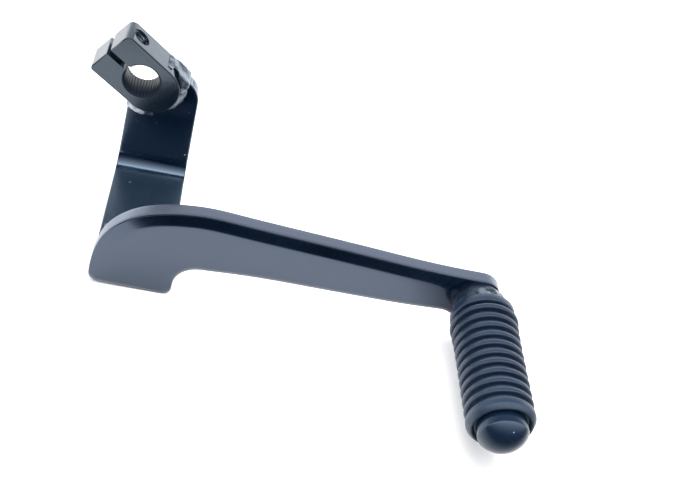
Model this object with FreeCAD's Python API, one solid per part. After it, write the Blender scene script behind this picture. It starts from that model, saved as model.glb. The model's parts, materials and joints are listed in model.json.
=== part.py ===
"""Gear shift lever: a clamp hub and a pedal joined by an offset strap and an arm plate.

Frame: the origin is the centre of the hub bore on the hub's outer face, +Y runs along the
bore towards the engine, +Z is up, and +X runs forward to the pedal. All lengths are mm.
"""
import FreeCAD
import Part
import math
import os

os.makedirs("parts", exist_ok=True)

# Clamp hub: u runs from the bore towards the round back, v across the two jaws.
hub_tilt = -37.1          # direction of u in the XZ plane, degrees from +X
hub_half_width = 9.05
hub_jaw_end = -13.85      # u of the open jaw ends
hub_back_centre = 4.0     # u of the centre of the round back
hub_thickness = 10.15
hub_upper_corner = 2.3    # vertical corners of the two jaws
hub_lower_corner = 1.3
hub_edge_radius = 0.35
slot_width = 1.9
spline_teeth = 36
spline_crest_radius = 5.6
spline_root_radius = 5.95
spline_crest_angle = 4.0  # degrees of each 10 degree pitch left as tooth crest
bore_chamfer = 0.5        # radial
bore_chamfer_depth = 0.4

# Pinch bolt holes, across the jaws.
pinch_u = -9.2
pinch_y = 5.0
thread_radius = 2.5
thread_chamfer = 0.5
clearance_radius = 3.1

# Offset strap: a flat bar bent through a right angle.
strap_front = 4.5
strap_thickness = 5.0
strap_left = -3.6         # at the upper end; the left edge leans out towards the bend
strap_left_foot = -4.75
strap_right = 18.6
strap_eye_x = 9.3         # centre of the rounded upper end
strap_eye_z = -7.9
strap_bend_z = -31.65     # where the bend starts
strap_bend_inner = 5.75
strap_edge_radius = 0.45
strap_top = 2.0           # top of the bar before its end is rounded
strap_low_reach = 12.0    # how far the outline runs below the start of the bend
strap_spare = 5.0         # extra bar on each side, taken off by the outline

# Arm plate; its outline is given as x, z points.
arm_front = -37.4
arm_thickness = 5.0
arm_front_rounding = 0.5
arm_rear_rounding = 0.3
arm_foot_left = (-6.7, -53.9)
arm_foot_right = (20.0, -55.6)
arm_inner_corner = (20.3, -42.1)
arm_under_edge = [(31.0, -41.55), (46.0, -41.0), (62.0, -41.3), (78.0, -41.7), (95.0, -42.0)]
arm_under_end = (111.0, -41.6)
arm_end_low = (116.0, -44.0)
arm_end_bottom = (127.4, -44.0)
arm_end_top = (127.4, -26.3)
arm_upper_edge = [(113.0, -26.15), (104.0, -25.75), (80.0, -23.6), (56.0, -21.45),
                  (37.0, -19.7), (28.0, -19.0)]
arm_shoulder = [(18.2, -19.8), (7.0, -23.3), (-0.2, -29.0), (-4.1, -35.4), (-6.1, -43.2)]
arm_corner_radii = [(arm_foot_left, 3.2), (arm_foot_right, 3.0), (arm_inner_corner, 8.3),
                    (arm_under_end, 6.0), (arm_end_low, 5.0), (arm_end_bottom, 6.5),
                    (arm_end_top, 7.2)]

# Pedal peg, its rubber and its weld.
peg_x = 121.3
peg_z = -35.6
peg_radius = 5.0
head_radius = 7.7
head_seat = -87.3
head_rim = -91.2
head_tip = -95.6
collar_radius = 8.8
collar_lean = -0.5        # the bead is laid heavier on its left side
rubber_back = -42.8
rubber_front = -88.5
rubber_radius = 10.64
rubber_swell = 0.6        # growth of the first ribs, stretched over the bead
rubber_end_radius = 10.6
rubber_back_radius = 10.8
recess_radius = 8.9
rib_start = -47.7
rib_pitch = 3.669
rib_count = 10
rib_rounding = 0.75
groove_width = 1.6
groove_depth = 1.9

# Weld fillets between hub and strap, and between strap and arm.
rear_weld = 2.5
lower_weld = 3.2
lower_weld_height = 4.3
joint_weld = 4.0
under_weld = 3.4
rear_weld_start = -18.0   # angles round the hub's back, degrees from the u direction
rear_weld_turn = 70.0
lower_weld_start = -90.0
lower_weld_turn = 42.0
strap_weld_left_gap = 1.2
strap_weld_right_gap = 0.9

# Lump of weld between the strap's round end and the hub: the ends of its middle line.
lump_start = (7.3, 2.2, 3.6)
lump_end = (12.6, 2.2, -0.2)
lump_radius = 2.3
lump_rounding = 0.6


def hub_point(u, v, y=0.0):
    """Point at hub coordinates u, v and depth y."""
    tilt = math.radians(hub_tilt)
    x = u * math.cos(tilt) - v * math.sin(tilt)
    z = u * math.sin(tilt) + v * math.cos(tilt)
    return FreeCAD.Vector(x, y, z)


def hub_direction(u, v):
    """Unit direction given in hub coordinates."""
    return hub_point(u, v).normalize()


def line(a, b):
    return Part.makeLine(a, b)


def arc(a, middle, b):
    return Part.Arc(a, middle, b).toShape()


def at_y(x, z, y):
    return FreeCAD.Vector(x, y, z)


def prism(edges, length):
    """Solid standing on a closed outline and running the given length along +Y."""
    face = Part.Face(Part.Wire(Part.__sortEdges__(edges)))
    return face.extrude(FreeCAD.Vector(0, length, 0))


def edges_at_y(shape, y):
    """Edges lying wholly in the plane at depth y."""
    found = []
    for edge in shape.Edges:
        box = edge.BoundBox
        if abs(box.YMin - y) < 0.001 and abs(box.YMax - y) < 0.001:
            found.append(edge)
    return found


def cylinder_y(x, z, radius, y_from, y_to):
    base = FreeCAD.Vector(x, y_from, z)
    return Part.makeCylinder(radius, y_to - y_from, base, FreeCAD.Vector(0, 1, 0))


def turned(profile, x, z):
    """Solid of revolution about the line parallel to Y through x, z.

    The profile is a list of (radius, y) corners; a three-item entry (radius, y, "arc")
    is a point on the arc between its neighbours.
    """
    edges = []
    count = len(profile)
    index = 0
    while index < count:
        here = profile[index]
        step = profile[(index + 1) % count]
        start = FreeCAD.Vector(x + here[0], here[1], z)
        if len(step) == 3:
            last = profile[(index + 2) % count]
            middle = FreeCAD.Vector(x + step[0], step[1], z)
            edges.append(arc(start, middle, FreeCAD.Vector(x + last[0], last[1], z)))
            index += 2
        else:
            edges.append(line(start, FreeCAD.Vector(x + step[0], step[1], z)))
            index += 1
    face = Part.Face(Part.Wire(edges))
    return face.revolve(FreeCAD.Vector(x, 0, z), FreeCAD.Vector(0, 1, 0), 360)


def hub_blank():
    """Hub outline with square jaws and a round back, edges broken."""
    end = hub_jaw_end
    back = hub_back_centre
    half = hub_half_width
    edges = [
        line(hub_point(end, -half), hub_point(back, -half)),
        arc(hub_point(back, -half), hub_point(back + half, 0), hub_point(back, half)),
        line(hub_point(back, half), hub_point(end, half)),
        line(hub_point(end, half), hub_point(end, -half)),
    ]
    blank = prism(edges, hub_thickness)
    for v, radius in ((half, hub_upper_corner), (-half, hub_lower_corner)):
        corner = hub_point(end, v, hub_thickness / 2)
        edge = min(blank.Edges, key=lambda e: (e.CenterOfMass - corner).Length)
        blank = blank.makeFillet(radius, [edge])
    rims = edges_at_y(blank, 0) + edges_at_y(blank, hub_thickness)
    return blank.makeFillet(hub_edge_radius, rims)


def spline_groove(index):
    """One groove of the serrated bore."""
    pitch = 360.0 / spline_teeth
    mouth = math.radians((pitch - spline_crest_angle) / 2)
    root = mouth * 0.35
    middle = math.radians(index * pitch)
    inner = spline_crest_radius - 0.25
    corners = []
    for radius, turn in ((inner, -mouth), (inner, mouth),
                         (spline_root_radius, root), (spline_root_radius, -root)):
        angle = middle + turn
        corners.append(hub_point(radius * math.cos(angle), radius * math.sin(angle), -1))
    edges = [line(corners[i], corners[(i + 1) % 4]) for i in range(4)]
    return prism(edges, hub_thickness + 2)


def clamp_hub():
    hub = hub_blank()
    hub = hub.cut(cylinder_y(0, 0, spline_crest_radius, -1, hub_thickness + 1))
    grooves = [spline_groove(index) for index in range(spline_teeth)]
    hub = hub.cut(Part.makeCompound(grooves))
    axis = FreeCAD.Vector(0, 1, 0)
    wide = spline_crest_radius + bore_chamfer
    depth = bore_chamfer_depth
    front = Part.makeCone(wide, spline_crest_radius, depth, FreeCAD.Vector(0, 0, 0), axis)
    rear = Part.makeCone(spline_crest_radius, wide, depth,
                         FreeCAD.Vector(0, hub_thickness - depth, 0), axis)
    hub = hub.cut(front).cut(rear)
    half_slot = slot_width / 2
    slot_edges = []
    slot_corners = [hub_point(hub_jaw_end - 2, -half_slot, -1), hub_point(0, -half_slot, -1),
                    hub_point(0, half_slot, -1), hub_point(hub_jaw_end - 2, half_slot, -1)]
    for i in range(4):
        slot_edges.append(line(slot_corners[i], slot_corners[(i + 1) % 4]))
    hub = hub.cut(prism(slot_edges, hub_thickness + 2))
    up = hub_direction(0, 1)
    centre = hub_point(pinch_u, 0, pinch_y)
    hub = hub.cut(Part.makeCylinder(thread_radius, hub_half_width + 1, centre, up))
    hub = hub.cut(Part.makeCylinder(clearance_radius, hub_half_width + 1, centre, up * -1))
    mouth = hub_point(pinch_u, hub_half_width - thread_chamfer, pinch_y)
    hub = hub.cut(Part.makeCone(thread_radius, thread_radius + thread_chamfer * 1.5,
                                thread_chamfer * 1.5, mouth, up))
    return hub


def strap_bar():
    """Bent bar seen from its side, swept across its width."""
    rear = strap_front + strap_thickness
    low = strap_bend_z - strap_bend_inner
    tangent = strap_front - strap_bend_inner
    outer = strap_bend_inner + strap_thickness
    arm_rear = arm_front + arm_thickness
    side = math.sqrt(0.5)

    def p(y, z):
        return FreeCAD.Vector(strap_left - strap_spare, y, z)

    bend_inside = p(tangent + strap_bend_inner * side, strap_bend_z - strap_bend_inner * side)
    bend_outside = p(tangent + outer * side, strap_bend_z - outer * side)
    edges = [
        line(p(strap_front, strap_top), p(strap_front, strap_bend_z)),
        arc(p(strap_front, strap_bend_z), bend_inside, p(tangent, low)),
        line(p(tangent, low), p(arm_rear, low)),
        line(p(arm_rear, low), p(arm_rear, low - strap_thickness)),
        line(p(arm_rear, low - strap_thickness), p(tangent, low - strap_thickness)),
        arc(p(tangent, low - strap_thickness), bend_outside, p(rear, strap_bend_z)),
        line(p(rear, strap_bend_z), p(rear, strap_top)),
        line(p(rear, strap_top), p(strap_front, strap_top)),
    ]
    face = Part.Face(Part.Wire(edges))
    return face.extrude(FreeCAD.Vector(strap_right - strap_left + 2 * strap_spare, 0, 0))


def strap_outline():
    """Rounded upper end and long sides of the strap, as a cutter standing along Y."""
    radius = strap_right - strap_eye_x
    y = arm_front
    bottom = strap_bend_z - strap_low_reach
    lean = (strap_left_foot - strap_left) / (strap_bend_z - strap_eye_z)
    side = radius * math.sqrt(0.5)
    left_top = at_y(strap_left, strap_eye_z, y)
    left_low = at_y(strap_left + lean * (bottom - strap_eye_z), bottom, y)
    crown = at_y(strap_eye_x, strap_eye_z + radius, y)
    edges = [
        line(left_low, left_top),
        line(left_top, crown),
        arc(crown, at_y(strap_eye_x + side, strap_eye_z + side, y),
            at_y(strap_right, strap_eye_z, y)),
        line(at_y(strap_right, strap_eye_z, y), at_y(strap_right, bottom, y)),
        line(at_y(strap_right, bottom, y), left_low),
    ]
    return prism(edges, strap_front + 2 * strap_thickness - arm_front)


def offset_strap():
    strap = strap_bar().common(strap_outline())
    arm_rear = arm_front + arm_thickness
    rims = []
    for edge in strap.Edges:
        box = edge.BoundBox
        ends_at_arm = abs(box.YMin - arm_rear) < 0.01 and box.YLength < 0.01
        crosses = box.XLength > 20 and box.ZLength < 0.01
        through = box.YLength > strap_thickness - 0.01 and box.ZLength < 0.01 and box.XLength < 0.01
        if not ends_at_arm and not crosses and not (through and box.YLength < 6):
            rims.append(edge)
    strap = strap.makeFillet(strap_edge_radius, rims)
    half = hub_half_width
    back = hub_back_centre
    seat = [
        line(hub_point(-30, -half), hub_point(back, -half)),
        arc(hub_point(back, -half), hub_point(back + half, 0), hub_point(back, half)),
        line(hub_point(back, half), hub_point(-30, half)),
        line(hub_point(-30, half), hub_point(-30, -half)),
    ]
    return strap.cut(prism(seat, hub_thickness + 5))


def smooth(points, start, end):
    """Smooth edge through the points, leaving and arriving along the given directions."""
    curve = Part.BSplineCurve()
    curve.interpolate(Points=points, InitialTangent=start, FinalTangent=end)
    return curve.toShape()


def arm_point(corner):
    """Point of the arm's outline on its front face."""
    return FreeCAD.Vector(corner[0], arm_front, corner[1])


def arm_plate():
    """Flat plate with rounded corners and softly rounded rims."""
    foot_left = arm_point(arm_foot_left)
    foot_right = arm_point(arm_foot_right)
    inner_corner = arm_point(arm_inner_corner)
    under_end = arm_point(arm_under_end)
    end_low = arm_point(arm_end_low)
    end_bottom = arm_point(arm_end_bottom)
    end_top = arm_point(arm_end_top)
    under = [inner_corner] + [arm_point(c) for c in arm_under_edge] + [under_end]
    upper = [end_top] + [arm_point(c) for c in arm_upper_edge + arm_shoulder] + [foot_left]
    edges = [
        line(foot_left, foot_right),
        line(foot_right, inner_corner),
        smooth(under, FreeCAD.Vector(1, 0, 0.05), FreeCAD.Vector(1, 0, 0.03)),
        line(under_end, end_low),
        line(end_low, end_bottom),
        line(end_bottom, end_top),
        smooth(upper, FreeCAD.Vector(-1, 0, 0), FreeCAD.Vector(0, 0, -1)),
    ]
    plate = prism(edges, arm_thickness)
    for corner, radius in arm_corner_radii:
        for edge in plate.Edges:
            foot = edge.Vertexes[0].Point
            if edge.BoundBox.YLength > arm_thickness - 0.01 and edge.BoundBox.XLength < 0.01:
                if math.hypot(foot.x - corner[0], foot.z - corner[1]) < 0.01:
                    plate = plate.makeFillet(radius, [edge])
                    break
    plate = plate.makeFillet(arm_front_rounding, edges_at_y(plate, arm_front))
    return plate.makeFillet(arm_rear_rounding, edges_at_y(plate, arm_front + arm_thickness))


def pedal_peg():
    """Round shank on the arm's front face with a domed head at its outer end."""
    rise = head_rim - head_tip
    sphere = (head_radius ** 2 + rise ** 2) / (2 * rise)
    half_way = math.asin(head_radius / sphere) / 2
    dome_middle = (sphere * math.sin(half_way), head_tip + sphere - sphere * math.cos(half_way), "arc")
    profile = [
        (0, arm_front), (peg_radius, arm_front), (peg_radius, head_seat),
        (head_radius, head_seat), (head_radius, head_rim),
        dome_middle, (0, head_tip),
    ]
    return turned(profile, peg_x, peg_z)


def pedal_rubber():
    """Ribbed sleeve stretched over the shank and seated behind the head."""
    profile = [(peg_radius, rubber_back), (rubber_back_radius - 0.8, rubber_back),
               (rubber_back_radius - 0.25, rubber_back - 0.25, "arc"),
               (rubber_back_radius, rubber_back - 0.8)]
    floor = rubber_radius - groove_depth
    round_off = rib_rounding
    outer = rubber_back_radius
    for index in range(rib_count + 1):
        front = rib_start - index * rib_pitch
        back = front + groove_width
        next_outer = rubber_radius + rubber_swell * math.exp(-index / 1.5)
        if index == rib_count:
            next_outer = rubber_end_radius
        bend = round_off * 0.3
        profile.append((outer, back + round_off))
        profile.append((outer - bend, back + bend, "arc"))
        profile.append((outer - round_off, back))
        profile.append((floor + groove_width / 2, back))
        profile.append((floor, (back + front) / 2, "arc"))
        profile.append((floor + groove_width / 2, front))
        profile.append((next_outer - round_off, front))
        profile.append((next_outer - bend, front - bend, "arc"))
        profile.append((next_outer, front - round_off))
        outer = next_outer
    profile += [
        (rubber_end_radius, rubber_front + 1.2),
        (rubber_end_radius - 0.35, rubber_front + 0.35, "arc"),
        (rubber_end_radius - 1.2, rubber_front),
        (recess_radius, rubber_front),
        (recess_radius, head_seat),
        (peg_radius, head_seat),
    ]
    return turned(profile, peg_x, peg_z)


def peg_weld():
    """Bead around the foot of the peg."""
    x = peg_x + collar_lean
    depth = rubber_back - arm_front
    profile = [
        (0, arm_front), (collar_radius - 0.4, arm_front),
        (collar_radius, arm_front + depth * 0.3, "arc"),
        (collar_radius - 0.9, rubber_back),
        (0, rubber_back),
    ]
    bead = turned(profile, x, peg_z)
    return bead.cut(cylinder_y(peg_x, peg_z, peg_radius, rubber_back - 1, arm_front + 1))


def hub_fillet(size, height, start, turn):
    """Fillet bead on the strap's front face, round the hub's back.

    size is its leg on the strap and height its leg up the hub's side. start is the hub
    angle where it begins and turn the angle it covers, both measured at the centre of
    the round back from the u direction.
    """
    centre = hub_point(hub_back_centre, 0)
    y = strap_front
    wall = hub_half_width
    angle = math.radians(start)
    out = hub_direction(math.cos(angle), math.sin(angle))
    corner = centre + out * wall + FreeCAD.Vector(0, y, 0)
    toe = corner + out * size
    top = corner + FreeCAD.Vector(0, -height, 0)
    belly = corner + out * (size * 0.6) + FreeCAD.Vector(0, -height * 0.6, 0)
    face = Part.Face(Part.Wire([line(corner, toe), arc(toe, belly, top), line(top, corner)]))
    return face.revolve(centre, FreeCAD.Vector(0, -1, 0), turn)


def hub_rear_weld():
    return hub_fillet(rear_weld, rear_weld, rear_weld_start, rear_weld_turn)


def hub_lower_weld():
    bead = hub_fillet(lower_weld, lower_weld_height, lower_weld_start, lower_weld_turn)
    return bead.common(strap_outline())


def hub_upper_weld(hub, strap, rear_bead):
    """Lump of weld filling the corner between the strap's round end and the hub."""
    start = FreeCAD.Vector(*lump_start)
    end = FreeCAD.Vector(*lump_end)
    radius = lump_radius
    along = (end - start).normalize()
    side = FreeCAD.Vector(-along.z, 0, along.x)
    edges = [
        line(start + side * radius, end + side * radius),
        arc(end + side * radius, end + along * radius, end - side * radius),
        line(end - side * radius, start - side * radius),
        arc(start - side * radius, start - along * radius, start + side * radius),
    ]
    lump = prism(edges, strap_front + strap_thickness - start.y)
    lump = lump.makeFillet(lump_rounding, edges_at_y(lump, start.y))
    pieces = lump.cut(hub).cut(strap).cut(rear_bead).Solids
    return max(pieces, key=lambda piece: piece.Volume)


def strap_weld(size, z, up):
    """Fillet bead between a face of the strap's leg and the arm's rear face."""
    y = arm_front + arm_thickness
    x_from = strap_left_foot + strap_weld_left_gap
    x_to = strap_right - strap_weld_right_gap

    def p(dy, dz):
        return FreeCAD.Vector(x_from, y + dy, z + dz * up)

    edges = [line(p(0, 0), p(size, 0)), arc(p(size, 0), p(size * 0.57, size * 0.57), p(0, size)),
             line(p(0, size), p(0, 0))]
    face = Part.Face(Part.Wire(edges))
    return face.extrude(FreeCAD.Vector(x_to - x_from, 0, 0))


leg_top = strap_bend_z - strap_bend_inner
hub_solid = clamp_hub()
strap_solid = offset_strap()
rear_bead_solid = hub_rear_weld()
nodes = {
    "clamp_hub": hub_solid,
    "offset_strap": strap_solid,
    "arm_plate": arm_plate(),
    "pedal_peg": pedal_peg(),
    "pedal_rubber": pedal_rubber(),
    "peg_weld": peg_weld(),
    "hub_rear_weld": rear_bead_solid,
    "hub_lower_weld": hub_lower_weld(),
    "hub_upper_weld": hub_upper_weld(hub_solid, strap_solid, rear_bead_solid),
    "strap_arm_upper_weld": strap_weld(joint_weld, leg_top, 1),
    "strap_arm_lower_weld": strap_weld(under_weld, leg_top - strap_thickness, -1),
}
for name, solid in nodes.items():
    solid.exportStep("parts/" + name + ".step")
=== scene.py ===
import json
import math
from types import SimpleNamespace

import bmesh
import bpy
import numpy as np
from mathutils import Matrix, Vector, noise


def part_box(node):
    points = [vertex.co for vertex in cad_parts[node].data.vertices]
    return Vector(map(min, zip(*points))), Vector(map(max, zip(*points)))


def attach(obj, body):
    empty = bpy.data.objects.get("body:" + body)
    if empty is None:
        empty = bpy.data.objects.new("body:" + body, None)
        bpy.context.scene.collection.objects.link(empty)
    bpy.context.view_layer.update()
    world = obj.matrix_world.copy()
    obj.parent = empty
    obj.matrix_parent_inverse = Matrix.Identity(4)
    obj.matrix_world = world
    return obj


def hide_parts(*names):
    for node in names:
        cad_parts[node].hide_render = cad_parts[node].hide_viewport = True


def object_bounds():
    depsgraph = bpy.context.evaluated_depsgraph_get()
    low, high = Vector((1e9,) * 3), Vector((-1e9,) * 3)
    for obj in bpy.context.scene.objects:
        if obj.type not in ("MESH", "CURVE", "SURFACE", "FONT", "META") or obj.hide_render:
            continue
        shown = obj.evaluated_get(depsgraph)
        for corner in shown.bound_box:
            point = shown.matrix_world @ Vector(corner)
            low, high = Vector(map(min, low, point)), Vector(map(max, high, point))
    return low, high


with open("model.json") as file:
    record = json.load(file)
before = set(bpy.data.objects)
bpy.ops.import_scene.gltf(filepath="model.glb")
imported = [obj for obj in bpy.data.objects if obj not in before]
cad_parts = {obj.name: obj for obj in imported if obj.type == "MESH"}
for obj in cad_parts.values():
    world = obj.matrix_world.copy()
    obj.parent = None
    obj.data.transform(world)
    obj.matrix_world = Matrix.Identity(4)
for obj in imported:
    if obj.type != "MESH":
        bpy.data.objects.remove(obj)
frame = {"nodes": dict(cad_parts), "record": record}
start_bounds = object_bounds()
MM = 0.001
parts = frame["nodes"]
mounts = {mount["name"]: mount for mount in frame["record"]["mounts"]}
depth_axis = Vector((0, 1, 0))

# Sizes are in mm and angles in degrees, unless a comment says otherwise.

# Arm plate. Where a value is a pair, it holds at the lower edge and at the upper edge.
arm_front_rounding = 0.5       # of the CAD plate; its outline is read just behind it
arm_rear_rounding = 0.3
arm_point_spacing = 0.7
arm_outline_blur = 0.7
arm_rim_width = (1.5, 0.35)
arm_rim_dip = (0.12, 0.25)
arm_rim_lean = (36, 49)
arm_band_tilt = 17.0           # lean of the pressed band along the upper edge
arm_band_fade = (3.9, 6.3)     # distance from the edge over which the band goes flat
arm_band_start = (-13, 7)      # x over which the band begins
arm_band_end = (122, 127)      # x over which it ends, at the pedal
arm_flat_inset = 1.9           # where the flat middle begins, away from the band
arm_band_inset = 4.9           # how much further in it begins behind the band
arm_band_behind = (-6, 0)      # x over which that extra distance grows
arm_upper_slope = (0.0, 0.6)   # rise of the outline's normal where the band comes up
arm_upper_rim = (-0.35, 0.1)   # rise of the normal between the lower and the upper rim
arm_rear_inset = 2.0           # where the flat rear face begins
arm_rim_steps = 6
arm_front_steps = 18

# Hub.
thread_depth = 0.5
thread_crest_gap = 0.02        # keeps the thread's skin off the drilled wall
thread_skin = 0.02             # how far the thread's piece reaches into the metal
thread_rows = 110
drill_past_ends = (0.3, 1.6)
dull_bore_radius = 6.3

# Welds.
weld_cell = 0.2
upper_weld_pits = (((9.4, 2.6, 3.3), 1.9, 3.0), ((10.5, 3.2, 0.6), 0.9, 1.2))
leg_weld_lumps = ((0.6, 0.4), (2.0, 0.15))
lower_weld_painted_from = 1.8  # x where the bare lower bead goes over to paint

# Strap.
film_top = -36.7               # height below which dust lies on the strap

# Pedal.
sleeve_bore = 5.0
sleeve_back_radius = 10.7
first_rib_setback = 5.1        # from the sleeve's inner end to the front of the first groove
rib_pitch = 3.669
rib_count = 10
rib_radius = 10.6
rib_swell = 0.6                # growth of the first ribs, stretched over the weld
rib_swell_reach = 1.5          # ribs over which the swell dies away
rib_crown = 0.04
groove_width = 1.75
groove_depth = 2.1
groove_rounding = 0.7
sleeve_end_radius = 10.55
peg_radius = 5.0
head_radius = 7.7
head_dome = 4.4
head_length = 8.3
head_edge = 0.3
dome_steps = 24

# Stage, in metres.
stage_reach = 12.0
card_near_edge = -0.05
card_lift = 0.0002
card_fade = (-0.18, -0.108)    # from fully dark to clear, measured towards the lever
card_skew = 0.14


def box_mm(name):
    """Lowest and highest corner of a CAD node, in mm."""
    low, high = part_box(name)
    return np.array(low) / MM, np.array(high) / MM


def between(pair, share):
    """Value part of the way from the first of a pair to the second."""
    return pair[0] + (pair[1] - pair[0]) * share


def soft_step(value, low, high):
    """Smooth rise from 0 at low to 1 at high."""
    t = np.clip((value - low) / (high - low), 0, 1)
    return t * t * (3 - 2 * t)


# ---------------------------------------------------------------- mesh helpers
def new_object(name, mesh, smooth_angle=40):
    """Object in the scene, shaded smooth up to the given angle."""
    mesh.shade_smooth()
    mesh.set_sharp_from_angle(angle=math.radians(smooth_angle))
    obj = bpy.data.objects.new(name, mesh)
    bpy.context.scene.collection.objects.link(obj)
    return obj


def new_mesh(name, verts, faces, smooth_angle=40, attributes=None):
    """Mesh object from mm points; attributes are {name: one value per point}."""
    mesh = bpy.data.meshes.new(name)
    mesh.from_pydata([tuple(c * MM for c in v) for v in verts], [], faces)
    mesh.update()
    bm = bmesh.new()
    bm.from_mesh(mesh)
    bmesh.ops.recalc_face_normals(bm, faces=bm.faces)
    bm.to_mesh(mesh)
    bm.free()
    for key, values in (attributes or {}).items():
        layer = mesh.attributes.new(key, "FLOAT", "POINT")
        layer.data.foreach_set("value", np.asarray(values, np.float32))
    return new_object(name, mesh, smooth_angle)


def applied(obj, name, smooth_angle=40):
    """New object holding obj's mesh with its modifiers applied; obj is removed."""
    graph = bpy.context.evaluated_depsgraph_get()
    mesh = bpy.data.meshes.new_from_object(obj.evaluated_get(graph))
    mesh.name = name
    bpy.data.objects.remove(obj)
    return new_object(name, mesh, smooth_angle)


def copy_of(node_name, name):
    """Editable copy of a CAD node's mesh."""
    obj = bpy.data.objects.new(name, parts[node_name].data.copy())
    bpy.context.scene.collection.objects.link(obj)
    bm = bmesh.new()
    bm.from_mesh(obj.data)
    bmesh.ops.remove_doubles(bm, verts=bm.verts, dist=1e-7)
    bm.to_mesh(obj.data)
    bm.free()
    return obj


def roughened(node_name, name, lumps, pits, swell):
    """Weld bead: the CAD bead rebuilt in small cells and pushed about by noise.

    lumps is a list of (cells per mm, height in mm); pits are (point, radius, depth) in mm;
    swell is how far the whole skin stands out, in mm.
    """
    obj = copy_of(node_name, name + "_blank")
    remesh = obj.modifiers.new("cells", "REMESH")
    remesh.mode = "VOXEL"
    remesh.voxel_size = weld_cell * MM
    obj = applied(obj, name, 180)
    mesh = obj.data
    count = len(mesh.vertices)
    co = np.empty(count * 3)
    mesh.vertices.foreach_get("co", co)
    co = co.reshape(-1, 3) / MM
    normals = np.array([v.normal[:] for v in mesh.vertices])
    push = np.full(count, swell)
    for scale, height in lumps:
        for i in range(count):
            push[i] += noise.noise(Vector(co[i] * scale)) * height
    co += normals * push[:, None]
    for point, radius, depth in pits:
        away = np.linalg.norm(co - np.array(point), axis=1)
        co[:, 1] += depth * np.clip(1 - (away / radius) ** 2, 0, 1)
    mesh.vertices.foreach_set("co", (co * MM).ravel())
    mesh.update()
    return obj


def lathe(name, profile, x, z, wobble, smooth_angle=35, segments=144):
    """Closed ring turned about the line parallel to Y through x, z.

    profile is a list of (radius, y); a radius of 0 closes the ring to a point.
    wobble is the height in mm of a slow unevenness of the outer surface.
    """
    verts = []
    faces = []
    rows = []
    for radius, y in profile:
        if radius == 0:
            verts.append((x, y, z))
            rows.append([len(verts) - 1] * segments)
            continue
        row = []
        for k in range(segments):
            angle = 2 * math.pi * k / segments
            c = math.cos(angle)
            s = math.sin(angle)
            r = radius + wobble * noise.noise(Vector((c * 2.2, y * 0.35, s * 2.2)))
            row.append(len(verts))
            verts.append((x + r * c, y, z + r * s))
        rows.append(row)
    for a, b in zip(rows, rows[1:] + rows[:1]):
        for k in range(segments):
            corners = [a[k], a[(k + 1) % segments], b[(k + 1) % segments], b[k]]
            face = []
            for corner in corners:
                if corner not in face:
                    face.append(corner)
            if len(face) > 2:
                faces.append(face)
    return new_mesh(name, verts, faces, smooth_angle)


# ---------------------------------------------------------------- material helpers
def node(tree, kind, **values):
    """New shader node with some of its settings."""
    n = tree.nodes.new(kind)
    for key, value in values.items():
        setattr(n, key, value)
    return n


def noise_node(tree, coords, scale, detail, rough=0.55, stretch=(1, 1, 1)):
    """Noise from 0 to 1; scale is in cells per metre."""
    mapping = node(tree, "ShaderNodeMapping")
    mapping.inputs["Scale"].default_value = stretch
    tree.links.new(coords, mapping.inputs["Vector"])
    n = node(tree, "ShaderNodeTexNoise")
    n.inputs["Scale"].default_value = scale
    n.inputs["Detail"].default_value = detail
    n.inputs["Roughness"].default_value = rough
    tree.links.new(mapping.outputs["Vector"], n.inputs["Vector"])
    return n.outputs["Fac"]


def ramp(tree, source, low, high, out_low=0.0, out_high=1.0):
    """Straight change from out_low to out_high while the source goes from low to high."""
    n = node(tree, "ShaderNodeMapRange")
    limits = {"From Min": low, "From Max": high, "To Min": out_low, "To Max": out_high}
    for key, value in limits.items():
        n.inputs[key].default_value = value
    tree.links.new(source, n.inputs["Value"])
    return n.outputs["Result"]


def math_node(tree, operation, a, b):
    """Result of a two-sided operation on sockets or numbers."""
    n = node(tree, "ShaderNodeMath", operation=operation)
    for socket, value in zip(n.inputs, (a, b)):
        if hasattr(value, "links"):
            tree.links.new(value, socket)
        else:
            socket.default_value = value
    return n.outputs[0]


def mix_colour(tree, factor, a, b):
    """Colour going from a to b as the factor goes from 0 to 1."""
    n = node(tree, "ShaderNodeMix", data_type="RGBA")
    tree.links.new(factor, n.inputs[0])
    for socket, value in ((n.inputs[6], a), (n.inputs[7], b)):
        if hasattr(value, "links"):
            tree.links.new(value, socket)
        else:
            socket.default_value = (*value, 1.0)
    return n.outputs[2]


def material(name):
    """New material with its tree, its shader and the position on the object."""
    mat = bpy.data.materials.new(name)
    mat.use_nodes = True
    tree = mat.node_tree
    shader = tree.nodes["Principled BSDF"]
    coords = node(tree, "ShaderNodeTexCoord").outputs["Object"]
    return mat, tree, shader, coords


def bump(tree, shader, layers):
    """Chain of bumps: (height socket, distance in mm, strength)."""
    normal = None
    for height, distance, strength in layers:
        b = node(tree, "ShaderNodeBump")
        b.inputs["Distance"].default_value = distance * MM
        b.inputs["Strength"].default_value = strength
        tree.links.new(height, b.inputs["Height"])
        if normal is not None:
            tree.links.new(normal, b.inputs["Normal"])
        normal = b.outputs["Normal"]
    tree.links.new(normal, shader.inputs["Normal"])


def split_xyz(tree, coords):
    """The X, Y and Z outputs of a position."""
    n = node(tree, "ShaderNodeSeparateXYZ")
    tree.links.new(coords, n.inputs[0])
    return n.outputs


def spot(tree, coords, point, radius):
    """Mask of a small round mark at a point, in mm."""
    n = node(tree, "ShaderNodeVectorMath", operation="DISTANCE")
    tree.links.new(coords, n.inputs[0])
    n.inputs[1].default_value = tuple(c * MM for c in point)
    return ramp(tree, n.outputs["Value"], radius * 1.2 * MM, radius * 0.5 * MM)


def weaker_gloss(look, mask, loss):
    """Take some of the gloss away where the mask is 1."""
    left = math_node(look.tree, "SUBTRACT", 0.5, math_node(look.tree, "MULTIPLY", mask, loss))
    look.tree.links.new(left, look.shader.inputs["Specular IOR Level"])


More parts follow.
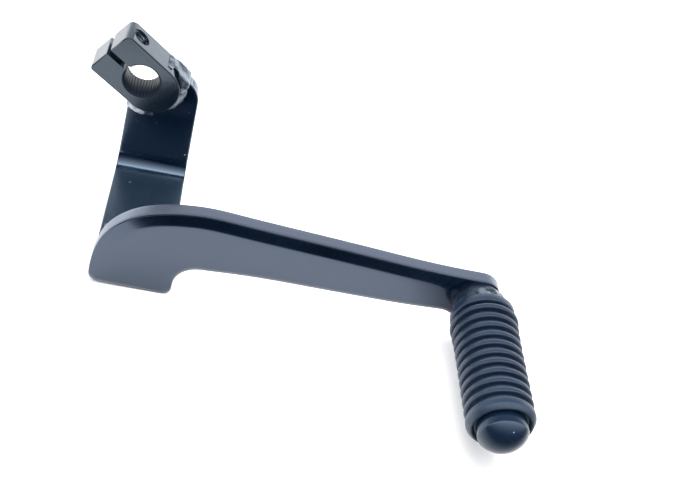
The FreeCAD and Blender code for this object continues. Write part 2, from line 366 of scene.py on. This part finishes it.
def rougher(look, mask, gain):
    """Add roughness where the mask is 1."""
    added = math_node(look.tree, "MULTIPLY", mask, gain)
    look.rough = math_node(look.tree, "ADD", look.rough, added)


def dust_film(look):
    """Thin dust on everything below the top of the film."""
    tree = look.tree
    lying = ramp(tree, split_xyz(tree, look.coords)["Z"], film_top * MM, (film_top - 0.6) * MM)
    rougher(look, lying, 0.17)
    powder = noise_node(tree, look.coords, 700, 6, 0.7)
    thick = math_node(tree, "MULTIPLY", lying, ramp(tree, powder, 0.35, 0.75, 0.35, 1.0))
    look.colour = mix_colour(tree, thick, look.colour, (0.008, 0.015, 0.024))


def dull_bore(look):
    """Oily, dull metal inside the hub's bore."""
    tree = look.tree
    flat = node(tree, "ShaderNodeVectorMath", operation="MULTIPLY")
    tree.links.new(look.coords, flat.inputs[0])
    flat.inputs[1].default_value = (1, 0, 1)
    reach = node(tree, "ShaderNodeVectorMath", operation="LENGTH")
    tree.links.new(flat.outputs[0], reach.inputs[0])
    inside = ramp(tree, reach.outputs["Value"], dull_bore_radius * MM, (dull_bore_radius - 0.05) * MM)
    rougher(look, inside, 0.25)
    weaker_gloss(look, inside, 0.36)


def painted_end(look):
    """Paint over one end of the bare bead."""
    tree = look.tree
    border = lower_weld_painted_from
    across = split_xyz(tree, look.coords)["X"]
    painted = ramp(tree, across, (border - 0.5) * MM, (border + 0.5) * MM)
    look.colour = mix_colour(tree, painted, look.colour, (0.006, 0.010, 0.018))
    weaker_gloss(look, painted, 0.4)


def sheared_edge(look):
    """Streaked and duller paint where the mesh attribute says the plate was cut."""
    tree = look.tree
    edge = node(tree, "ShaderNodeAttribute", attribute_name="cut").outputs["Fac"]
    rougher(look, edge, 0.16)
    streaks = noise_node(tree, look.coords, 500, 3, 0.6, (1, 0.12, 1))
    look.bumps.append((math_node(tree, "MULTIPLY", streaks, edge), 0.05, 0.6))
    worn = math_node(tree, "MULTIPLY", edge, 0.3)
    look.colour = mix_colour(tree, worn, look.colour, (0.1, 0.115, 0.15))


def paint(name, body, sheen, rough, ior, grain=1.0, dusty=1.0, chips_and_highlights=(),
          chip_and_highlight_colour=(0.35, 0.38, 0.42), extra=None):
    """Glossy blue-black finish: body is the colour under the gloss, sheen tints the gloss.

    The (point, radius) spots are small chips on most finishes and painted highlights on the
    collar, standing in for light caught by a shiny facet. extra is a function that changes the
    look on one region of the surface.
    """
    mat, tree, shader, coords = material(name)
    shader.inputs["IOR"].default_value = ior
    shader.inputs["Specular Tint"].default_value = (*sheen, 1.0)
    haze = noise_node(tree, coords, 45, 5)
    fine = noise_node(tree, coords, 900, 3)
    peel = noise_node(tree, coords, 330, 2)
    specks = noise_node(tree, coords, 1500, 2)
    dark_body = tuple(c * 0.8 for c in body)
    light_body = tuple(c * 1.25 for c in body)
    tint = mix_colour(tree, ramp(tree, haze, 0.3, 0.7), dark_body, light_body)
    dust = math_node(tree, "MULTIPLY", ramp(tree, specks, 0.7, 0.78), ramp(tree, haze, 0.42, 0.62))
    dust_cover = math_node(tree, "MULTIPLY", dust, 0.3 * dusty)
    colour = mix_colour(tree, dust_cover, tint, (0.35, 0.4, 0.46))
    # Spots mixed into the colour: chips, and on the collar painted highlights.
    for point, radius in chips_and_highlights:
        colour = mix_colour(tree, spot(tree, coords, point, radius), colour, chip_and_highlight_colour)
    look = SimpleNamespace(
        tree=tree, shader=shader, coords=coords, colour=colour,
        rough=ramp(tree, haze, 0.3, 0.7, rough * 0.85, rough * 1.2),
        bumps=[(peel, 0.02 * grain, 0.5), (fine, 0.008 * grain, 0.6)])
    if extra is not None:
        extra(look)
    rougher(look, dust, 0.3)
    tree.links.new(look.colour, shader.inputs["Base Color"])
    tree.links.new(look.rough, shader.inputs["Roughness"])
    bump(tree, shader, look.bumps)
    return mat


def rubber_material():
    """Dull blue-black rubber with a fine grain."""
    mat, tree, shader, coords = material("rubber")
    haze = noise_node(tree, coords, 60, 6)
    fine = noise_node(tree, coords, 1200, 4)
    cover = ramp(tree, haze, 0.3, 0.75)
    colour = mix_colour(tree, cover, (0.001, 0.005, 0.019), (0.004, 0.012, 0.031))
    tree.links.new(colour, shader.inputs["Base Color"])
    shader.inputs["Specular Tint"].default_value = (0.7, 0.85, 1.0, 1.0)
    shader.inputs["IOR"].default_value = 1.72
    tree.links.new(ramp(tree, fine, 0.3, 0.7, 0.4, 0.55), shader.inputs["Roughness"])
    bump(tree, shader, [(haze, 0.05, 0.4), (fine, 0.02, 0.6)])
    return mat


def put(obj, mat):
    """Give an object its one material."""
    obj.data.materials.clear()
    obj.data.materials.append(mat)


def stand_in(obj, mat, slot, *nodes):
    """Finish a new piece and let it take the place of CAD nodes."""
    put(obj, mat)
    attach(obj, "root")
    if nodes:
        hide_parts(*nodes)


# ---------------------------------------------------------------- materials
gloss = paint("gloss_paint", (0.0005, 0.004, 0.013), (0.58, 0.78, 1.0), 0.13, 1.95, dusty=0.9,
              chips_and_highlights=(((0.8, -5.4, -37.4), 0.28), ((17.3, 4.5, -29.4), 0.25)), extra=dust_film)
arm_gloss = paint("arm_paint", (0.001, 0.004, 0.010), (0.62, 0.75, 1.0), 0.14, 1.84, dusty=0.4,
                  chips_and_highlights=(((88.3, -37.2, -23.9), 0.45),), extra=sheared_edge)
hub_paint = paint("hub_paint", (0.001, 0.005, 0.011), (0.72, 0.85, 1.0), 0.18, 1.72, grain=1.6,
                  dusty=0.5, extra=dull_bore)
head_paint = paint("head_paint", (0.003, 0.010, 0.025), (0.7, 0.84, 1.0), 0.28, 1.6, grain=0.6,
                   dusty=0.5, chips_and_highlights=(((122.0, -93.6, -30.2), 0.22),))
weld_paint = paint("weld_paint", (0.010, 0.015, 0.024), (0.75, 0.87, 1.0), 0.3, 2.3, grain=1.5)
# The two lighter spots on the peg's weld collar are a painted highlight, standing in for light caught by
# a shiny facet of the bead.
collar_paint_with_painted_highlight = paint("collar_paint_with_painted_highlight", (0.004, 0.008, 0.016), (0.75, 0.87, 1.0), 0.3, 1.8, grain=1.5,
                     chips_and_highlights=(((118.9, -40.6, -27.0), 1.5), ((120.9, -41.0, -26.8), 0.9)),
                     chip_and_highlight_colour=(0.07, 0.085, 0.11))
bare = paint("bare_weld", (0.2, 0.22, 0.25), (0.9, 0.95, 1.0), 0.36, 2.2, grain=2.0,
             extra=painted_end)
rubber = rubber_material()


# ---------------------------------------------------------------- arm plate
def outline_loop(mesh, y):
    """Closed loop of a mesh's edges lying in the plane at depth y, as mm points (x, z)."""
    links = {}
    for edge in mesh.edges:
        ends = [mesh.vertices[i].co for i in edge.vertices]
        if any(abs(end.y / MM - y) > 0.01 for end in ends):
            continue
        names = []
        for end in ends:
            names.append((round(end.x / MM, 3), round(end.z / MM, 3)))
        if names[0] != names[1]:
            links.setdefault(names[0], set()).add(names[1])
            links.setdefault(names[1], set()).add(names[0])
    start = min(links)
    loop = [start]
    last = None
    here = start
    while True:
        onward = [n for n in links[here] if n != last]
        last, here = here, onward[0]
        if here == start:
            return np.array(loop)
        loop.append(here)


def even_loop(points, spacing, blur):
    """Loop resampled at even spacing and smoothed over the blur length, with outward normals."""
    closed = np.vstack([points, points[:1]])
    steps = np.hypot(*np.diff(closed, axis=0).T)
    along = np.concatenate([[0], np.cumsum(steps)])
    count = int(along[-1] / spacing)
    at = np.linspace(0, along[-1], count, endpoint=False)
    even = np.column_stack([np.interp(at, along, closed[:, i]) for i in range(2)])
    reach = int(3 * blur / spacing) + 1
    offsets = np.arange(-reach, reach + 1)
    weights = np.exp(-0.5 * (offsets * spacing / blur) ** 2)
    weights /= weights.sum()
    smoothed = sum(w * np.roll(even, -o, axis=0) for o, w in zip(offsets, weights))
    tangent = np.roll(smoothed, -1, axis=0) - np.roll(smoothed, 1, axis=0)
    tangent /= np.linalg.norm(tangent, axis=1)[:, None]
    normal = np.column_stack([tangent[:, 1], -tangent[:, 0]])
    x, z = smoothed.T
    area = np.sum(x * np.roll(z, -1) - np.roll(x, -1) * z)
    if area < 0:
        normal = -normal
    return smoothed, normal


def arm_rings():
    """Rings of the arm's skin from the rear face round to the front.

    Each ring is (outline, y, 1 where the plate was cut, lean of the surface); the second
    result is the first ring whose lean is given, and the third the outward normals.
    """
    low, high = box_mm("arm_plate")
    front = low[1]
    rear = high[1]
    edge_loop = outline_loop(parts["arm_plate"].data, front + arm_front_rounding)
    loop, normal = even_loop(edge_loop, arm_point_spacing, arm_outline_blur)
    x = loop[:, 0]
    count = len(loop)
    upward = soft_step(normal[:, 1], *arm_upper_slope)
    above = soft_step(normal[:, 1], *arm_upper_rim)
    before_pedal = soft_step(-x, -arm_band_end[1], -arm_band_end[0])
    roll = upward * soft_step(x, *arm_band_start) * before_pedal
    rim = between(arm_rim_width, above)
    dip = between(arm_rim_dip, above)
    lean = between(arm_rim_lean, above)
    behind_band = upward * soft_step(x, *arm_band_behind) * before_pedal
    depth = arm_flat_inset + arm_band_inset * behind_band
    rings = []

    def ring(inset, y, cut, tilt):
        outline = loop - normal * np.reshape(inset, (-1, 1)) * np.ones((count, 1))
        rings.append((outline, np.broadcast_to(y, (count,)), cut, np.broadcast_to(tilt, (count,))))

    ring(arm_rear_inset, rear, 0, 0)
    ring(arm_rear_rounding, rear, 0, 0)
    for turn in (22.5, 45, 67.5, 90):
        a = math.radians(turn)
        ring(arm_rear_rounding * (1 - math.sin(a)), rear - arm_rear_rounding * (1 - math.cos(a)), 1, 0)
    side_start = rear - arm_rear_rounding
    for step in (0.25, 0.5, 0.75):
        ring(0.0, side_start + (front + dip - side_start) * step, 1, 0)
    first_leaning = len(rings)
    for step in np.linspace(0, 0.85, arm_rim_steps):
        ring(rim * step, front + dip * (1 - step) ** 2, 1 if step == 0 else 0, lean * (1 - step))
    for step in np.linspace(0, 1, arm_front_steps):
        inset = rim + (depth - rim) * step
        ring(inset, front, 0, arm_band_tilt * roll * (1 - soft_step(inset, *arm_band_fade)))
    return rings, first_leaning, normal


def arm_skin():
    """Pressed plate: rolled-over upper edge, soft lower edge, sheared sides."""
    rings, first_leaning, normal = arm_rings()
    count = len(normal)
    verts = []
    cut = []
    for outline, y, is_cut, _ in rings:
        verts += [(outline[i, 0], y[i], outline[i, 1]) for i in range(count)]
        cut += [is_cut] * count
    faces = []
    for row in range(len(rings) - 1):
        here = row * count
        onward = here + count
        for i in range(count):
            j = (i + 1) % count
            faces.append((here + i, here + j, onward + j, onward + i))
    faces.append(tuple(range(count)))
    last = (len(rings) - 1) * count
    faces.append(tuple(last + i for i in range(count)))
    obj = new_mesh("arm_skin", verts, faces, 50, {"cut": cut})
    mesh = obj.data
    normals = np.array([c.vector[:] for c in mesh.corner_normals])
    for polygon in mesh.polygons:
        if min(polygon.vertices) < first_leaning * count:
            continue
        for corner in polygon.loop_indices:
            row, i = divmod(mesh.loops[corner].vertex_index, count)
            angle = math.radians(rings[row][3][i])
            side = normal[i] * math.sin(angle)
            normals[corner] = (side[0], -math.cos(angle), side[1])
    mesh.normals_split_custom_set([tuple(n) for n in normals])
    return obj


stand_in(arm_skin(), arm_gloss, "black_steel", "arm_plate")


# ---------------------------------------------------------------- hub with its tapped hole
tapped = mounts["pinch_bolt_thread"]
across = -Vector(tapped["axis"]).normalized()
sideways = across.cross(depth_axis)
hole_middle = Vector(tapped["pos_m"]) / MM
half_hole = tapped["dims"]["length_mm"] / 2
thread_minor = tapped["dims"]["r_mm"]
thread_major = thread_minor + thread_depth


def round_hole(angle, radius, at):
    """Point at an angle, a radius and a place along the hole, from the hole's middle."""
    out = sideways * (radius * math.cos(angle)) + depth_axis * (radius * math.sin(angle))
    return hole_middle + out + across * at


def tube(name, inner, outer_radius, start, end, rows, segments=48):
    """Tube in the hole, its inner radius given by a function of angle and position."""
    verts = []
    faces = []
    for row in range(rows + 1):
        at = start + (end - start) * row / rows
        for k in range(segments):
            a = 2 * math.pi * k / segments
            for radius in (inner(a, at), outer_radius):
                verts.append(round_hole(a, radius, at))
    for row in range(rows):
        for k in range(segments):
            m = (k + 1) % segments
            for layer in (0, 1):
                a = (row * segments + k) * 2 + layer
                b = (row * segments + m) * 2 + layer
                faces.append((a, b, b + segments * 2, a + segments * 2))
    for row in (0, rows):
        for k in range(segments):
            a = (row * segments + k) * 2
            b = (row * segments + (k + 1) % segments) * 2
            faces.append((a, b, b + 1, a + 1))
    return new_mesh(name, verts, faces, 60)


def thread_radius_at(angle, at):
    """M6 x 1 thread form."""
    phase = (at - angle / (2 * math.pi)) % 1.0
    rise = (1 - abs(phase * 2 - 1)) ** 0.8
    return thread_major - thread_crest_gap - (thread_depth - thread_crest_gap) * rise


def flatten(mesh, axes):
    """Flat faces square to one of the axes are shaded flat, and their roundings start from them."""
    normals = [c.vector.copy() for c in mesh.corner_normals]
    flats = {}
    square = set()
    for polygon in mesh.polygons:
        if max(abs(polygon.normal.dot(axis)) for axis in axes) > 0.9999:
            square.add(polygon.index)
            for vertex in polygon.vertices:
                flats.setdefault(vertex, []).append(polygon.normal.copy())
    for polygon in mesh.polygons:
        for corner in polygon.loop_indices:
            if polygon.index in square:
                normals[corner] = polygon.normal
                continue
            near = flats.get(mesh.loops[corner].vertex_index, ())
            near = [flat for flat in near if flat.dot(polygon.normal) > 0.7]
            if near:
                normals[corner] = max(near, key=lambda flat: flat.dot(polygon.normal))
    mesh.normals_split_custom_set([tuple(n) for n in normals])


def drill(segments=48):
    """Round bar that opens the hole to the thread's full width."""
    verts = []
    for end in (-half_hole - drill_past_ends[0], half_hole + drill_past_ends[1]):
        verts += [round_hole(2 * math.pi * k / segments, thread_major, end) for k in range(segments)]
    faces = []
    for k in range(segments):
        m = (k + 1) % segments
        faces.append((k, m, m + segments, k + segments))
    faces.append(tuple(range(segments)))
    faces.append(tuple(range(segments, 2 * segments)))
    return new_mesh("drill", verts, faces)


def hub_body():
    """The CAD hub with its hole drilled out to hold the thread piece."""
    blank = copy_of("clamp_hub", "hub_blank")
    bar = drill()
    cut = blank.modifiers.new("drill", "BOOLEAN")
    cut.operation = "DIFFERENCE"
    cut.solver = "EXACT"
    cut.object = bar
    body = applied(blank, "hub_body", 30)
    bpy.data.objects.remove(bar)
    flatten(body.data, (depth_axis, across, sideways))
    return body


stand_in(hub_body(), hub_paint, "hub_steel", "clamp_hub")
thread = tube("pinch_thread", thread_radius_at, thread_major + thread_skin, -half_hole, half_hole,
              thread_rows)
stand_in(thread, hub_paint, "hub_steel")

# ---------------------------------------------------------------- strap and welds
put(parts["offset_strap"], gloss)
welds = (
    ("hub_rear_weld", "rear_bead", weld_paint, "painted_weld", ((0.7, 0.3), (2.0, 0.1)), (), 0.0),
    ("hub_lower_weld", "lower_bead", bare, "bare_weld", ((0.6, 0.45), (1.5, 0.2)), (), 0.4),
    ("hub_upper_weld", "upper_bead", weld_paint, "painted_weld", ((0.4, 0.45), (1.0, 0.12)),
     upper_weld_pits, 0.0),
    ("peg_weld", "collar_bead", collar_paint_with_painted_highlight, "painted_weld", ((0.4, 0.4), (1.2, 0.1)), (), 0.0),
    ("strap_arm_upper_weld", "leg_upper_bead", weld_paint, "painted_weld", leg_weld_lumps, (), 0.0),
    ("strap_arm_lower_weld", "leg_lower_bead", weld_paint, "painted_weld", leg_weld_lumps, (), 0.0),
)
for cad, piece, mat, slot, lumps, pits, swell in welds:
    stand_in(roughened(cad, piece, lumps, pits, swell), mat, slot, cad)


# ---------------------------------------------------------------- pedal
def pedal_centre():
    """x and z of the peg's axis."""
    low, high = box_mm("pedal_peg")
    return (low[0] + high[0]) / 2, (low[2] + high[2]) / 2


def shoulder(radius, y, away, turns):
    """Rounded edge of a rib whose side at y faces a groove; away is +1 towards the arm."""
    points = []
    for turn in turns:
        a = math.radians(turn)
        points.append((radius - groove_rounding * (1 - math.cos(a)),
                       y + away * groove_rounding * (1 - math.sin(a))))
    return points


def rounded_groove(outer, next_outer, back):
    """Profile points of one groove and the shoulders on both sides of it."""
    front = back - groove_width
    floor = min(outer, next_outer) - groove_depth
    half = groove_width / 2
    points = shoulder(outer, back, 1, (0, 22.5, 45, 67.5, 90))
    for turn in (0, 30, 60, 90, 120, 150, 180):
        a = math.radians(turn)
        points.append((floor + half * (1 - math.sin(a)), (back + front) / 2 + half * math.cos(a)))
    return points + shoulder(next_outer, front, -1, (90, 67.5, 45, 22.5, 0))


def rubber_sleeve():
    """Ribbed sleeve with a bevelled end ring."""
    low, high = box_mm("pedal_rubber")
    x, z = pedal_centre()
    front = low[1]
    back = high[1]
    outer = sleeve_back_radius
    profile = [(sleeve_bore, back), (outer - 0.9, back), (outer - 0.3, back - 0.25), (outer, back - 0.85)]
    for index in range(rib_count + 1):
        next_outer = rib_radius + rib_swell * math.exp(-index / rib_swell_reach)
        if index == rib_count:
            next_outer = sleeve_end_radius
        mouth = back - first_rib_setback + groove_width - index * rib_pitch
        profile += rounded_groove(outer, next_outer, mouth)
        if index < rib_count:
            crown_y = mouth - (groove_width + rib_pitch) / 2
            profile.append((next_outer + rib_crown, crown_y))
        outer = next_outer
    profile += [(outer, front + 2.0), (outer - 0.08, front + 1.65), (outer - 0.3, front + 1.3),
                (9.55, front + 0.15), (9.35, front + 0.03), (9.15, front), (8.95, front + 0.08),
                (8.8, front + 0.3), (8.2, front + 1.15), (sleeve_bore, front + 1.15)]
    return lathe("rubber_sleeve", profile, x, z, 0.09, 50)


def peg():
    """Shank with a domed head."""
    low, high = box_mm("pedal_peg")
    x, z = pedal_centre()
    tip = low[1]
    foot = high[1]
    rim = tip + head_dome
    seat = tip + head_length
    profile = [(peg_radius, foot), (peg_radius, seat), (head_radius - head_edge, seat),
               (head_radius, seat - head_edge), (head_radius, rim + 0.1)]
    sphere = (head_radius ** 2 + head_dome ** 2) / (2 * head_dome)
    whole = math.asin(head_radius / sphere)
    for step in range(1, dome_steps):
        a = whole * (1 - step / dome_steps)
        profile.append((sphere * math.sin(a), tip + sphere - sphere * math.cos(a)))
    profile += [(0, tip), (0, foot)]
    return lathe("peg_and_head", profile, x, z, 0.02)


stand_in(rubber_sleeve(), rubber, "pedal_rubber", "pedal_rubber")
stand_in(peg(), head_paint, "peg_steel", "pedal_peg")


# ---------------------------------------------------------------- stage
def sheet(name, near_y, far_y, z):
    """Flat sheet of the stage, in metres."""
    reach = stage_reach
    corners = [(-reach, near_y, z), (reach, near_y, z), (reach, far_y, z), (-reach, far_y, z)]
    mesh = bpy.data.meshes.new(name)
    mesh.from_pydata(corners, [], [(0, 1, 2, 3)])
    obj = bpy.data.objects.new(name, mesh)
    bpy.context.scene.collection.objects.link(obj)
    return obj


def pale_floor(z):
    """Plain matt floor."""
    floor = sheet("floor", -stage_reach, stage_reach, z)
    mat, _, shader, _ = material("floor")
    shader.inputs["Base Color"].default_value = (0.83, 0.83, 0.83, 1.0)
    shader.inputs["Roughness"].default_value = 0.9
    shader.inputs["Specular IOR Level"].default_value = 0.1
    floor.data.materials.append(mat)


def dark_card(z):
    """Card lying in front: the gloss mirrors it, and it casts no shadow."""
    card = sheet("dark_card", -stage_reach, card_near_edge, z + card_lift)
    card.visible_camera = False
    card.visible_diffuse = False
    card.visible_shadow = False
    mat, tree, shader, coords = material("card")
    place = split_xyz(tree, coords)
    skew = math_node(tree, "SUBTRACT", place["Y"], math_node(tree, "MULTIPLY", place["X"], card_skew))
    clear = math_node(tree, "POWER", ramp(tree, skew, *card_fade), 3.0)
    shader.inputs["Base Color"].default_value = (0.004, 0.004, 0.006, 1.0)
    shader.inputs["Roughness"].default_value = 0.9
    shader.inputs["Specular IOR Level"].default_value = 0.0
    tree.links.new(math_node(tree, "SUBTRACT", 1.0, clear), shader.inputs["Alpha"])
    card.data.materials.append(mat)


def studio_sky():
    """Brightness by the angle from the front horizon, over the top, to the back horizon."""
    world = bpy.data.worlds.new("studio")
    bpy.context.scene.world = world
    world.use_nodes = True
    tree = world.node_tree
    background = tree.nodes["Background"]
    background.inputs["Color"].default_value = (0.97, 0.985, 1.0, 1)
    toward = split_xyz(tree, node(tree, "ShaderNodeTexCoord").outputs["Generated"])
    ahead = math_node(tree, "MULTIPLY", toward["Y"], -1.0)
    turn = math_node(tree, "DIVIDE", math_node(tree, "ARCTAN2", toward["Z"], ahead), math.pi)
    steps = node(tree, "ShaderNodeValToRGB")
    tree.links.new(turn, steps.inputs["Fac"])
    levels = ((0, 0.02), (10, 0.03), (24, 0.2), (42, 0.7), (60, 1.5), (72, 2.6), (76, 2.6), (81, 0.06),
              (108, 0.06), (128, 0.6), (150, 0.68), (168, 1.3), (180, 2.1))
    elements = steps.color_ramp.elements
    while len(elements) < len(levels):
        elements.new(0.5)
    for element, (angle, level) in zip(elements, levels):
        element.position = angle / 180
        element.color = (level, level, level, 1)
    sky = math_node(tree, "MULTIPLY", steps.outputs["Color"], 2.0)
    on_left = ramp(tree, toward["X"], -0.4, -0.7)
    left = math_node(tree, "MULTIPLY", on_left, ramp(tree, turn, 0.93, 0.99))
    whole = math_node(tree, "ADD", sky, math_node(tree, "MULTIPLY", left, 1.8))
    tree.links.new(whole, background.inputs["Strength"])


def top_light():
    """Large soft box above the lever."""
    light = bpy.data.lights.new("top_box", "AREA")
    light.shape = "SQUARE"
    light.size = 0.75
    light.energy = 13.5
    place = Vector((0.05, 0.06, 0.8))
    target = Vector((0.06, -0.02, -0.04))
    obj = bpy.data.objects.new("top_box", light)
    obj.location = place
    obj.rotation_euler = (target - place).to_track_quat("-Z", "Y").to_euler()
    obj.visible_glossy = False
    bpy.context.scene.collection.objects.link(obj)


floor_z = start_bounds[0][2]
pale_floor(floor_z)
dark_card(floor_z)
studio_sky()
top_light()

# ---------------------------------------------------------------- camera
camera = bpy.data.cameras.new("camera")
camera.sensor_width = 36.0
camera.lens = 49.875
camera.clip_start = 0.01
camera.clip_end = 20.0
view = bpy.data.objects.new("camera", camera)
bpy.context.scene.collection.objects.link(view)
forward = Vector((0.17924, 0.735368, -0.653534)).normalized()
upright = Vector((-0.168015, 0.677414, 0.716157)).normalized()
right = forward.cross(upright).normalized()
rotation = Matrix((right, right.cross(forward), -forward)).transposed().to_4x4()
view.matrix_world = Matrix.Translation((0.0155057, -0.2530478, 0.1724279)) @ rotation
bpy.context.scene.camera = view
bpy.context.scene.view_settings.view_transform = "Standard"
